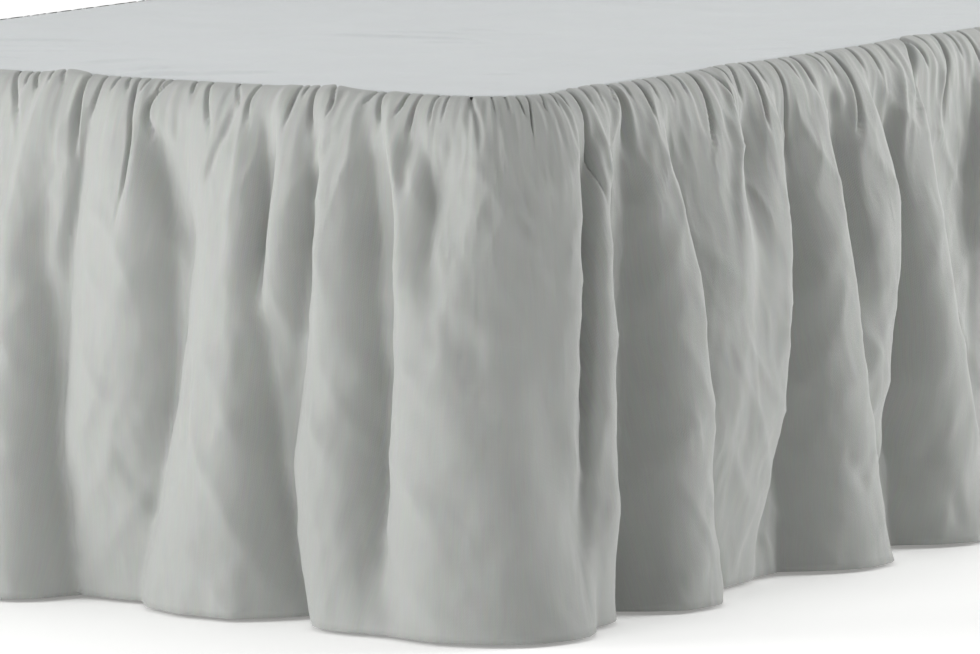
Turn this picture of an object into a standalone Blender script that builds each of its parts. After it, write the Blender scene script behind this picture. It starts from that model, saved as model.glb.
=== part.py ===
"""A gathered cotton bed skirt on a plain single bed base.

The foot of the bed faces -Y and the head faces +Y. The skirt hangs round the foot and both
long sides. Its folds are measured along a line 60 mm outside the seam, from the foot's right
corner: minus along the foot, plus along the right side.
"""

import math
import random

import bmesh
import bpy
import numpy as np

# Driving dimensions, in metres.
BED_WIDTH = 0.90
BED_LENGTH = 2.00
DROP = 0.50
HEM_CLEARANCE = 0.004
LEG_HEIGHT = 0.235
LEG_TOP_RADIUS = 0.032
LEG_FOOT_RADIUS = 0.024
LEG_INSET = 0.085
BASE_EDGE_RADIUS = 0.014
SEAM_INSET = 0.0025
SEAM_CORNER_RADIUS = 0.075
DECK_THICKNESS = 0.0015
SKIRT_THICKNESS = 0.002
GAP = 0.0003
SEAM_GAP = 0.0005
# Half way from the furthest fold at the foot to the head end, which stands over the origin.
PLAN_CENTRE_Y = 0.928

SEAM_HEIGHT = HEM_CLEARANCE + DROP
BASE_TOP = SEAM_HEIGHT - GAP - DECK_THICKNESS / 2

# The line that folds are measured along lies this far outside the seam.
MEASURE_OUT = 0.060
CORNER_RADIUS = SEAM_CORNER_RADIUS + MEASURE_OUT
HALF_ARC = CORNER_RADIUS * math.pi / 4
SEAM_HALF_WIDTH = BED_WIDTH / 2 - SEAM_INSET
FOOT_STRAIGHT = 2 * (SEAM_HALF_WIDTH - SEAM_CORNER_RADIUS)
SIDE_STRAIGHT = BED_LENGTH - SEAM_INSET - SEAM_CORNER_RADIUS
LEFT_CORNER = -2 * HALF_ARC - FOOT_STRAIGHT
RIGHT_END = HALF_ARC + SIDE_STRAIGHT
LEFT_END = LEFT_CORNER - HALF_ARC - SIDE_STRAIGHT

# The cloth rolls out from the seam over the first few centimetres, and then swings slowly out
# to the hem. The valley sizes are how far out the cloth between folds is at the hem.
ROLL_OUT = 0.020
ROLL_DROP = 0.028
FOOT_VALLEY_OUT = 0.054
SIDE_VALLEY_OUT = 0.041
SWING_POWER = 0.90

# Each fold's crest: where it is at five heights, and how far it stands out from the valleys at
# the last four of them. Its two flanks have widths of their own at the seam, half way down and
# at the hem. Heights are shares of the drop.
PLACE_LEVELS = (0.0, 0.2, 0.5, 0.8, 1.0)
PLACE_KEYS = ("seam", "top", "mid", "low", "hem")
RISE_KEYS = ("rise_top", "rise_mid", "rise_low", "rise_hem")
WIDTH_LEVELS = (0.0, 0.5, 1.0)
LEFT_KEYS = ("left_seam", "left_mid", "left_hem")
RIGHT_KEYS = ("right_seam", "right_mid", "right_hem")
FOLD_COLUMNS = (*PLACE_KEYS, *RISE_KEYS, *LEFT_KEYS, *RIGHT_KEYS)
SEEN_FOLDS = (
    (-0.546, -0.560, -0.562, -0.556, -0.548, 0.031, 0.053, 0.064, 0.072,
     0.060, 0.100, 0.150, 0.070, 0.055, 0.080),
    (-0.506, -0.516, -0.520, -0.520, -0.520, 0.022, 0.008, 0.000, 0.000,
     0.030, 0.035, 0.040, 0.026, 0.030, 0.040),
    (-0.446, -0.440, -0.438, -0.445, -0.440, 0.030, 0.042, 0.028, 0.012,
     0.060, 0.096, 0.056, 0.035, 0.075, 0.080),
    (-0.314, -0.308, -0.302, -0.306, -0.300, 0.032, 0.054, 0.066, 0.072,
     0.095, 0.092, 0.150, 0.032, 0.046, 0.110),
    (-0.260, -0.256, -0.272, -0.280, -0.280, 0.032, 0.020, 0.000, 0.000,
     0.022, 0.030, 0.040, 0.034, 0.042, 0.060),
    (-0.210, -0.197, -0.190, -0.176, -0.132, 0.037, 0.046, 0.062, 0.088,
     0.024, 0.056, 0.104, 0.046, 0.060, 0.100),
    (-0.150, -0.118, -0.094, -0.062, -0.040, 0.032, 0.048, 0.050, 0.060,
     0.024, 0.050, 0.100, 0.032, 0.050, 0.080),
    (0.000, -0.020, -0.042, -0.036, -0.022, 0.030, 0.066, 0.104, 0.125,
     0.085, 0.112, 0.125, 0.080, 0.096, 0.115),
    (0.096, 0.064, 0.024, 0.008, 0.002, 0.028, 0.052, 0.072, 0.086,
     0.075, 0.085, 0.080, 0.022, 0.078, 0.080),
    (0.158, 0.124, 0.096, 0.064, 0.042, 0.028, 0.046, 0.056, 0.058,
     0.022, 0.028, 0.036, 0.034, 0.052, 0.120),
    (0.238, 0.243, 0.249, 0.240, 0.230, 0.031, 0.060, 0.062, 0.072,
     0.060, 0.085, 0.110, 0.036, 0.050, 0.100),
    (0.345, 0.346, 0.342, 0.325, 0.320, 0.030, 0.048, 0.038, 0.012,
     0.076, 0.110, 0.100, 0.070, 0.110, 0.100),
    (0.400, 0.369, 0.341, 0.305, 0.295, 0.027, 0.012, 0.000, 0.000,
     0.024, 0.030, 0.045, 0.030, 0.040, 0.060),
    (0.462, 0.452, 0.422, 0.390, 0.364, 0.031, 0.048, 0.037, 0.016,
     0.044, 0.090, 0.090, 0.032, 0.050, 0.080),
    (0.552, 0.552, 0.546, 0.560, 0.575, 0.033, 0.060, 0.064, 0.065,
     0.060, 0.085, 0.140, 0.034, 0.045, 0.090),
    (0.632, 0.648, 0.632, 0.610, 0.640, 0.036, 0.050, 0.032, 0.004,
     0.060, 0.090, 0.060, 0.036, 0.056, 0.060),
    (0.746, 0.738, 0.730, 0.758, 0.790, 0.034, 0.064, 0.066, 0.064,
     0.060, 0.075, 0.120, 0.036, 0.045, 0.090),
)

# The folds beyond those follow a rule: a main fold, then sometimes a small one that dies out
# before the hem.
UNSEEN_SEED = 11
MAIN_SPACING = (0.165, 0.225)
MAIN_RISE_HEM = (0.055, 0.074)
SMALL_FOLD_SHARE = 0.7
CREST_DRIFT = 0.025
FOLD_BLEND_POWER = 4.0
CREST_POWER = 2.5
FOLD_REACH = 0.80
VALLEY_ROUND = 0.006

# The solid sheet's grid: nearly even columns, and rows that crowd towards the seam.
COLUMN_STEP = 0.0165
ROW_DROPS = (0.0, 0.002, 0.008, 0.022, 0.060, 0.125, 0.230, 0.350, DROP)
CORNER_STEPS = 12

COTTON = (0.60, 0.62, 0.60)
DECK_COTTON = (0.66, 0.69, 0.69)
BASE_CLOTH = (0.45, 0.44, 0.42)
LEG_WOOD = (0.36, 0.24, 0.14)


def clear_scene():
    for leftover in list(bpy.data.objects):
        bpy.data.objects.remove(leftover, do_unlink=True)


def paint(thing, name, colour, roughness):
    material = bpy.data.materials.new(name)
    material.use_nodes = True
    shader = material.node_tree.nodes["Principled BSDF"]
    shader.inputs["Base Color"].default_value = (*colour, 1.0)
    shader.inputs["Roughness"].default_value = roughness
    shader.inputs["Metallic"].default_value = 0.0
    thing.data.materials.append(material)


def place(thing, name, collection, parent):
    """Names an object, moves it into the bed's collection and hangs it from the bed's centre."""
    thing.name = name
    thing.data.name = name
    for other in list(thing.users_collection):
        other.objects.unlink(thing)
    collection.objects.link(thing)
    thing.parent = parent


def line_point(along):
    """The point of the measuring line at this distance, and the way out from it."""
    centre_x = SEAM_HALF_WIDTH - SEAM_CORNER_RADIUS
    centre_y = SEAM_INSET + SEAM_CORNER_RADIUS
    along = np.asarray(along, float)
    mirrored = along < LEFT_CORNER / 2
    from_corner = np.where(mirrored, LEFT_CORNER - along, along)
    past_foot = np.clip(from_corner + HALF_ARC, None, 0.0)
    past_side = np.clip(from_corner - HALF_ARC, 0.0, None)
    turn = np.clip((from_corner + HALF_ARC) / (2 * HALF_ARC), 0.0, 1.0) * math.pi / 2
    out_x, out_y = np.sin(turn), -np.cos(turn)
    x = centre_x + past_foot + CORNER_RADIUS * out_x
    y = centre_y + past_side + CORNER_RADIUS * out_y
    side = np.where(mirrored, -1.0, 1.0)
    return x * side, y, out_x * side, out_y


def smooth_through(levels, values, at):
    """A smooth curve through a few values, as a cubic with even slopes at each."""
    levels, values = np.asarray(levels), np.asarray(values)
    slopes = np.gradient(values, levels)
    left = np.clip(np.searchsorted(levels, at, side="right") - 1, 0, len(levels) - 2)
    span = levels[left + 1] - levels[left]
    u = (at - levels[left]) / span
    start = values[left] + slopes[left] * span * u
    end = values[left + 1] - slopes[left + 1] * span * (1 - u)
    blend = u * u * (3 - 2 * u)
    return start + (end - start) * blend


def bump(offset, left, right):
    """A rounded hill, 1 at its crest, with a flank of its own width on each side."""
    reach = np.where(offset < 0, -offset / left, offset / right) / FOLD_REACH
    return np.clip(1 - reach**CREST_POWER, 0.0, None)


def unseen_fold(dice, crest, small):
    drift = [dice.uniform(-CREST_DRIFT, CREST_DRIFT) for _ in range(3)]
    places = [crest + each for each in (drift[0], drift[1] * 0.7, drift[2] * 0.4, drift[2] * 0.1, 0)]
    if small:
        rises = (dice.uniform(0.020, 0.030), dice.uniform(0.012, 0.026), 0.006, 0.0)
        widths = (0.025, 0.035, 0.055, 0.030, 0.040, 0.060)
    else:
        middle, hem = dice.uniform(0.047, 0.059), dice.uniform(*MAIN_RISE_HEM)
        rises = (0.032, middle, middle * 0.4 + hem * 0.6, hem)
        left, right = dice.uniform(0.10, 0.16), dice.uniform(0.07, 0.11)
        widths = (left * 0.45, left * 0.6, left, right * 0.42, right * 0.55, right)
    return (*places, *rises, *widths)


def unseen_folds():
    """Folds for the stretches that only a rule describes, out to both ends of the skirt."""
    dice = random.Random(UNSEEN_SEED)
    rows = []
    for start, end, way in ((0.790, RIGHT_END, 1), (-0.548, LEFT_END, -1)):
        crest = start
        while True:
            gap = dice.uniform(*MAIN_SPACING)
            if dice.random() < SMALL_FOLD_SHARE:
                rows.append(unseen_fold(dice, crest + way * gap * 0.5, True))
            crest += way * gap
            if abs(crest) > abs(end) - 0.03:
                break
            rows.append(unseen_fold(dice, crest, False))
    rows.append((*[LEFT_CORNER] * 5, 0.032, 0.062, 0.094, 0.110, *(0.05, 0.08, 0.11) * 2))
    return rows


def swing(along, drop):
    """How far outside the seam the cloth hangs."""
    down = drop / DROP
    to_side = np.clip(
        (np.abs(along - LEFT_CORNER / 2) + LEFT_CORNER / 2 + HALF_ARC) / (2 * HALF_ARC), 0, 1
    )
    valley_out = FOOT_VALLEY_OUT + (SIDE_VALLEY_OUT - FOOT_VALLEY_OUT) * to_side
    total = np.full_like(along, VALLEY_ROUND**FOLD_BLEND_POWER)
    for row in (*SEEN_FOLDS, *unseen_folds()):
        fold = dict(zip(FOLD_COLUMNS, row))
        crest = smooth_through(PLACE_LEVELS, [fold[key] for key in PLACE_KEYS], down)
        rise = smooth_through(PLACE_LEVELS, [0.0, *(fold[key] for key in RISE_KEYS)], down)
        left = smooth_through(WIDTH_LEVELS, [fold[key] for key in LEFT_KEYS], down)
        right = smooth_through(WIDTH_LEVELS, [fold[key] for key in RIGHT_KEYS], down)
        hill = bump(along - crest, left, right)
        total += (np.clip(rise, 0.0, None) * hill) ** FOLD_BLEND_POWER
    past_roll = 1 - np.clip(drop / ROLL_DROP, 0, 1)
    roll = ROLL_OUT * np.sqrt(np.clip(1 - past_roll**2, 0, None))
    folds = total ** (1 / FOLD_BLEND_POWER) - VALLEY_ROUND
    return roll + (valley_out - ROLL_OUT) * down**SWING_POWER + folds


def skirt_points(columns, drops):
    """The sheet's inner face as a grid of points, a row for each distance below the seam."""
    along, drop = np.meshgrid(columns, drops)
    x, y, out_x, out_y = line_point(along)
    out = swing(along, drop) - MEASURE_OUT
    return np.stack([x + out * out_x, y + out * out_y, SEAM_HEIGHT - drop], axis=-1)


def build_skirt(collection, parent):
    count = round((RIGHT_END - LEFT_END) / COLUMN_STEP) + 1
    columns = np.linspace(LEFT_END, RIGHT_END, count)
    grid = skirt_points(columns, np.array(ROW_DROPS))
    rows = len(ROW_DROPS)
    mesh = bpy.data.meshes.new("gathered_skirt")
    faces = [
        (row * count + column, (row + 1) * count + column,
         (row + 1) * count + column + 1, row * count + column + 1)
        for row in range(rows - 1)
        for column in range(count - 1)
    ]
    mesh.from_pydata(grid.reshape(-1, 3).tolist(), [], faces)
    skirt = bpy.data.objects.new("gathered_skirt", mesh)
    place(skirt, "gathered_skirt", collection, parent)
    thicken = skirt.modifiers.new("cloth thickness", "SOLIDIFY")
    thicken.thickness = SKIRT_THICKNESS
    thicken.offset = 1.0
    paint(skirt, "gathered_cotton", COTTON, 0.9)
    return skirt


def rounded_outline(half_width, front, back, radius, steps):
    """A plan outline with two rounded corners at the foot and two square ones at the head."""
    corner_x, corner_y = half_width - radius, front + radius
    turns = [math.pi / 2 * step / steps for step in range(steps + 1)]
    right = [
        (corner_x + radius * math.sin(turn), corner_y - radius * math.cos(turn)) for turn in turns
    ]
    left = [(-x, y) for x, y in reversed(right)]
    return [*right, (half_width, back), (-half_width, back), *left]


def flat_sheet(name, outline, low, high):
    """A closed prism over a plan outline."""
    mesh = bpy.data.meshes.new(name)
    shape = bmesh.new()
    face = shape.faces.new([shape.verts.new((x, y, low)) for x, y in outline])
    raised = bmesh.ops.extrude_face_region(shape, geom=[face])["geom"]
    moved = [item for item in raised if isinstance(item, bmesh.types.BMVert)]
    bmesh.ops.translate(shape, verts=moved, vec=(0.0, 0.0, high - low))
    bmesh.ops.recalc_face_normals(shape, faces=shape.faces)
    shape.to_mesh(mesh)
    shape.free()
    return bpy.data.objects.new(name, mesh)


def build_deck(collection, parent):
    outline = rounded_outline(
        SEAM_HALF_WIDTH - SEAM_GAP, SEAM_INSET + SEAM_GAP, BED_LENGTH,
        SEAM_CORNER_RADIUS - SEAM_GAP, CORNER_STEPS,
    )
    low = BASE_TOP + GAP
    deck = flat_sheet("deck_panel", outline, low, low + DECK_THICKNESS)
    place(deck, "deck_panel", collection, parent)
    paint(deck, "deck_cotton", DECK_COTTON, 0.9)
    return deck


def build_base(collection, parent):
    outline = rounded_outline(
        BED_WIDTH / 2, 0.0, BED_LENGTH, SEAM_CORNER_RADIUS + SEAM_INSET, CORNER_STEPS
    )
    base = flat_sheet("bed_base", outline, LEG_HEIGHT, BASE_TOP)
    place(base, "bed_base", collection, parent)
    soften = base.modifiers.new("rounded edges", "BEVEL")
    soften.width = BASE_EDGE_RADIUS
    soften.segments = 3
    soften.limit_method = "ANGLE"
    soften.angle_limit = math.radians(40)
    paint(base, "base_cover", BASE_CLOTH, 0.85)
    return base


def build_legs(collection, parent):
    reach_x = BED_WIDTH / 2 - LEG_INSET
    for end, y in (("foot", LEG_INSET), ("head", BED_LENGTH - LEG_INSET)):
        for side, x in (("left", -reach_x), ("right", reach_x)):
            height = LEG_HEIGHT - GAP
            bpy.ops.mesh.primitive_cone_add(
                vertices=24, radius1=LEG_FOOT_RADIUS, radius2=LEG_TOP_RADIUS,
                depth=height, location=(x, y, height / 2),
            )
            leg = bpy.context.object
            place(leg, f"leg_{end}_{side}", collection, parent)
            paint(leg, f"leg_wood_{end}_{side}", LEG_WOOD, 0.5)


def main():
    clear_scene()
    collection = bpy.data.collections.new("bed_skirt")
    bpy.context.scene.collection.children.link(collection)
    centre = bpy.data.objects.new("bed_centre", None)
    collection.objects.link(centre)
    build_skirt(collection, centre)
    build_deck(collection, centre)
    build_base(collection, centre)
    build_legs(collection, centre)
    centre.location = (0.0, -PLAN_CENTRE_Y, 0.0)


if __name__ == "__main__":
    main()
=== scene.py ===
"""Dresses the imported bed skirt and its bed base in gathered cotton, ticking and beech.

The gathered skirt and the deck panel are fine cloth sheets laid over the folds of their solids.
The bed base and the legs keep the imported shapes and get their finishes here. The foot of the
bed faces -Y. Places on the skirt are given by along, the distance on a line that runs 60 mm
outside the seam from the foot's right corner (minus along the foot, plus along the right
side), and by drop, the height below the seam.
"""

import math
import random

import bpy
import numpy as np
from bpy.props import FloatProperty, PointerProperty, StringProperty
from bpy.types import Operator, Panel, PropertyGroup
from mathutils import Matrix, Vector


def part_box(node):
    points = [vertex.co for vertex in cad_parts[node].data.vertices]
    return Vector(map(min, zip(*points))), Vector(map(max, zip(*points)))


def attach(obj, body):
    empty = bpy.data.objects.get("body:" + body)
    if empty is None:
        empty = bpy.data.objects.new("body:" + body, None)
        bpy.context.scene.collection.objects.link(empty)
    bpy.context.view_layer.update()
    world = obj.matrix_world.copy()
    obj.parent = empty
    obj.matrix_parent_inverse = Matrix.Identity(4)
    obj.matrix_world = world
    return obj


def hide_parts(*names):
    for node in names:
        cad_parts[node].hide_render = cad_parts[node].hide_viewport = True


bl_info = {
    "name": "Gathered bed skirt",
    "version": (1, 0, 0),
    "blender": (4, 5, 0),
    "location": "3D View > Sidebar > Bed skirt",
    "description": "Makes the cotton skirt, its deck panel and the bed base under them",
    "category": "Add Mesh",
}

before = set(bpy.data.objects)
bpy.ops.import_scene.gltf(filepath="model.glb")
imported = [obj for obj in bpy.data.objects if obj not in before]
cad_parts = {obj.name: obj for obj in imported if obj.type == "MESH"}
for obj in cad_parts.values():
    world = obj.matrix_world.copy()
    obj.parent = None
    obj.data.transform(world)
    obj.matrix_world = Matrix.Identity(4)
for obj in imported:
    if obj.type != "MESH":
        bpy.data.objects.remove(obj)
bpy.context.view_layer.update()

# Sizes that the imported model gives, in metres.
BASE_LOW, BASE_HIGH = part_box("bed_base")
DECK_LOW, DECK_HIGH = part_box("deck_panel")
SKIRT_LOW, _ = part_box("gathered_skirt")
SEAM_INSET = 0.0025
SEAM_HEIGHT = (DECK_LOW.z + DECK_HIGH.z) / 2
HEM_HEIGHT = SKIRT_LOW.z
DROP = SEAM_HEIGHT - HEM_HEIGHT
BED_LENGTH = BASE_HIGH.y - BASE_LOW.y
FRONT_Y = BASE_LOW.y + SEAM_INSET
HEAD_Y = BASE_HIGH.y
SEAM_HALF_WIDTH = BASE_HIGH.x - SEAM_INSET
SEAM_CORNER_RADIUS = 0.075

# The line that folds are measured along lies this far outside the seam.
MEASURE_OUT = 0.060
CORNER_RADIUS = SEAM_CORNER_RADIUS + MEASURE_OUT
HALF_ARC = CORNER_RADIUS * math.pi / 4
FOOT_STRAIGHT = 2 * (SEAM_HALF_WIDTH - SEAM_CORNER_RADIUS)
SIDE_STRAIGHT = BED_LENGTH - SEAM_INSET - SEAM_CORNER_RADIUS
LEFT_CORNER = -2 * HALF_ARC - FOOT_STRAIGHT
RIGHT_END = HALF_ARC + SIDE_STRAIGHT
LEFT_END = LEFT_CORNER - HALF_ARC - SIDE_STRAIGHT

# The cloth rolls out from the seam over the edge of the base before it falls.
ROLL_OUT = 0.020
ROLL_DROP = 0.028
FOOT_VALLEY_OUT = 0.054
SIDE_VALLEY_OUT = 0.041
SWING_POWER = 0.90

# Each fold's crest: where it is at five heights, and how far it stands out from the valleys at
# the last four of them. Its two flanks have widths of their own at the seam, half way down and
# at the hem. Heights are shares of the drop.
PLACE_LEVELS = (0.0, 0.2, 0.5, 0.8, 1.0)
PLACE_KEYS = ("seam", "top", "mid", "low", "hem")
RISE_KEYS = ("rise_top", "rise_mid", "rise_low", "rise_hem")
WIDTH_LEVELS = (0.0, 0.5, 1.0)
LEFT_KEYS = ("left_seam", "left_mid", "left_hem")
RIGHT_KEYS = ("right_seam", "right_mid", "right_hem")
FOLD_COLUMNS = (*PLACE_KEYS, *RISE_KEYS, *LEFT_KEYS, *RIGHT_KEYS)
SEEN_FOLDS = (
    (-0.546, -0.560, -0.562, -0.556, -0.548, 0.031, 0.053, 0.064, 0.072,
     0.060, 0.100, 0.150, 0.070, 0.055, 0.080),
    (-0.506, -0.516, -0.520, -0.520, -0.520, 0.022, 0.008, 0.000, 0.000,
     0.030, 0.035, 0.040, 0.026, 0.030, 0.040),
    (-0.446, -0.440, -0.438, -0.445, -0.440, 0.030, 0.042, 0.028, 0.012,
     0.060, 0.096, 0.056, 0.035, 0.075, 0.080),
    (-0.314, -0.308, -0.302, -0.306, -0.300, 0.032, 0.054, 0.066, 0.072,
     0.095, 0.092, 0.150, 0.032, 0.046, 0.110),
    (-0.260, -0.256, -0.272, -0.280, -0.280, 0.032, 0.020, 0.000, 0.000,
     0.022, 0.030, 0.040, 0.034, 0.042, 0.060),
    (-0.210, -0.197, -0.190, -0.176, -0.132, 0.037, 0.046, 0.062, 0.088,
     0.024, 0.056, 0.104, 0.046, 0.060, 0.100),
    (-0.150, -0.118, -0.094, -0.062, -0.040, 0.032, 0.048, 0.050, 0.060,
     0.024, 0.050, 0.100, 0.032, 0.050, 0.080),
    (0.000, -0.020, -0.042, -0.036, -0.022, 0.030, 0.066, 0.104, 0.125,
     0.085, 0.112, 0.125, 0.080, 0.096, 0.115),
    (0.096, 0.064, 0.024, 0.008, 0.002, 0.028, 0.052, 0.072, 0.086,
     0.075, 0.085, 0.080, 0.022, 0.078, 0.080),
    (0.158, 0.124, 0.096, 0.064, 0.042, 0.028, 0.046, 0.056, 0.058,
     0.022, 0.028, 0.036, 0.034, 0.052, 0.120),
    (0.238, 0.243, 0.249, 0.240, 0.230, 0.031, 0.060, 0.062, 0.072,
     0.060, 0.085, 0.110, 0.036, 0.050, 0.100),
    (0.345, 0.346, 0.342, 0.325, 0.320, 0.030, 0.048, 0.038, 0.012,
     0.076, 0.110, 0.100, 0.070, 0.110, 0.100),
    (0.400, 0.369, 0.341, 0.305, 0.295, 0.027, 0.012, 0.000, 0.000,
     0.024, 0.030, 0.045, 0.030, 0.040, 0.060),
    (0.462, 0.452, 0.422, 0.390, 0.364, 0.031, 0.048, 0.037, 0.016,
     0.044, 0.090, 0.090, 0.032, 0.050, 0.080),
    (0.552, 0.552, 0.546, 0.560, 0.575, 0.033, 0.060, 0.064, 0.065,
     0.060, 0.085, 0.140, 0.034, 0.045, 0.090),
    (0.632, 0.648, 0.632, 0.610, 0.640, 0.036, 0.050, 0.032, 0.004,
     0.060, 0.090, 0.060, 0.036, 0.056, 0.060),
    (0.746, 0.738, 0.730, 0.758, 0.790, 0.034, 0.064, 0.066, 0.064,
     0.060, 0.075, 0.120, 0.036, 0.045, 0.090),
)

# The folds beyond those follow a rule: a main fold, then sometimes a small one that dies out
# before the hem.
UNSEEN_SEED = 11
MAIN_SPACING = (0.165, 0.225)
MAIN_RISE_HEM = (0.055, 0.074)
SMALL_FOLD_SHARE = 0.7
CREST_DRIFT = 0.025
FOLD_BLEND_POWER = 4.0
CREST_POWER = 2.5
FOLD_REACH = 0.80
VALLEY_ROUND = 0.006


def line_point(along):
    """The point of the measuring line at this distance, and the way out from it."""
    centre_x = SEAM_HALF_WIDTH - SEAM_CORNER_RADIUS
    centre_y = FRONT_Y + SEAM_CORNER_RADIUS
    along = np.asarray(along, float)
    mirrored = along < LEFT_CORNER / 2
    from_corner = np.where(mirrored, LEFT_CORNER - along, along)
    past_foot = np.clip(from_corner + HALF_ARC, None, 0.0)
    past_side = np.clip(from_corner - HALF_ARC, 0.0, None)
    turn = np.clip((from_corner + HALF_ARC) / (2 * HALF_ARC), 0.0, 1.0) * math.pi / 2
    out_x, out_y = np.sin(turn), -np.cos(turn)
    x = centre_x + past_foot + CORNER_RADIUS * out_x
    y = centre_y + past_side + CORNER_RADIUS * out_y
    side = np.where(mirrored, -1.0, 1.0)
    return x * side, y, out_x * side, out_y


def smooth_through(levels, values, at):
    """A smooth curve through a few values, as a cubic with even slopes at each."""
    levels, values = np.asarray(levels), np.asarray(values)
    slopes = np.gradient(values, levels)
    left = np.clip(np.searchsorted(levels, at, side="right") - 1, 0, len(levels) - 2)
    span = levels[left + 1] - levels[left]
    u = (at - levels[left]) / span
    start = values[left] + slopes[left] * span * u
    end = values[left + 1] - slopes[left + 1] * span * (1 - u)
    blend = u * u * (3 - 2 * u)
    return start + (end - start) * blend


def bump(offset, left, right):
    """A rounded hill, 1 at its crest, with a flank of its own width on each side."""
    reach = np.where(offset < 0, -offset / left, offset / right) / FOLD_REACH
    return np.clip(1 - reach**CREST_POWER, 0.0, None)


def unseen_fold(dice, crest, small):
    drift = [dice.uniform(-CREST_DRIFT, CREST_DRIFT) for _ in range(3)]
    places = [crest + each for each in (drift[0], drift[1] * 0.7, drift[2] * 0.4, drift[2] * 0.1, 0)]
    if small:
        rises = (dice.uniform(0.020, 0.030), dice.uniform(0.012, 0.026), 0.006, 0.0)
        widths = (0.025, 0.035, 0.055, 0.030, 0.040, 0.060)
    else:
        middle, hem = dice.uniform(0.047, 0.059), dice.uniform(*MAIN_RISE_HEM)
        rises = (0.032, middle, middle * 0.4 + hem * 0.6, hem)
        left, right = dice.uniform(0.10, 0.16), dice.uniform(0.07, 0.11)
        widths = (left * 0.45, left * 0.6, left, right * 0.42, right * 0.55, right)
    return (*places, *rises, *widths)


def unseen_folds():
    """Folds for the stretches that only a rule describes, out to both ends of the skirt."""
    dice = random.Random(UNSEEN_SEED)
    rows = []
    for start, end, way in ((0.790, RIGHT_END, 1), (-0.548, LEFT_END, -1)):
        crest = start
        while True:
            gap = dice.uniform(*MAIN_SPACING)
            if dice.random() < SMALL_FOLD_SHARE:
                rows.append(unseen_fold(dice, crest + way * gap * 0.5, True))
            crest += way * gap
            if abs(crest) > abs(end) - 0.03:
                break
            rows.append(unseen_fold(dice, crest, False))
    rows.append((*[LEFT_CORNER] * 5, 0.032, 0.062, 0.094, 0.110, *(0.05, 0.08, 0.11) * 2))
    return rows


def swing(along, drop):
    """How far outside the seam the cloth hangs."""
    down = drop / DROP
    to_side = np.clip(
        (np.abs(along - LEFT_CORNER / 2) + LEFT_CORNER / 2 + HALF_ARC) / (2 * HALF_ARC), 0, 1
    )
    valley_out = FOOT_VALLEY_OUT + (SIDE_VALLEY_OUT - FOOT_VALLEY_OUT) * to_side
    total = np.full_like(along, VALLEY_ROUND**FOLD_BLEND_POWER)
    for row in (*SEEN_FOLDS, *unseen_folds()):
        fold = dict(zip(FOLD_COLUMNS, row))
        crest = smooth_through(PLACE_LEVELS, [fold[key] for key in PLACE_KEYS], down)
        rise = smooth_through(PLACE_LEVELS, [0.0, *(fold[key] for key in RISE_KEYS)], down)
        left = smooth_through(WIDTH_LEVELS, [fold[key] for key in LEFT_KEYS], down)
        right = smooth_through(WIDTH_LEVELS, [fold[key] for key in RIGHT_KEYS], down)
        hill = bump(along - crest, left, right)
        total += (np.clip(rise, 0.0, None) * hill) ** FOLD_BLEND_POWER
    past_roll = 1 - np.clip(drop / ROLL_DROP, 0, 1)
    roll = ROLL_OUT * np.sqrt(np.clip(1 - past_roll**2, 0, None))
    folds = total ** (1 / FOLD_BLEND_POWER) - VALLEY_ROUND
    return roll + (valley_out - ROLL_OUT) * down**SWING_POWER + folds


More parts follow.
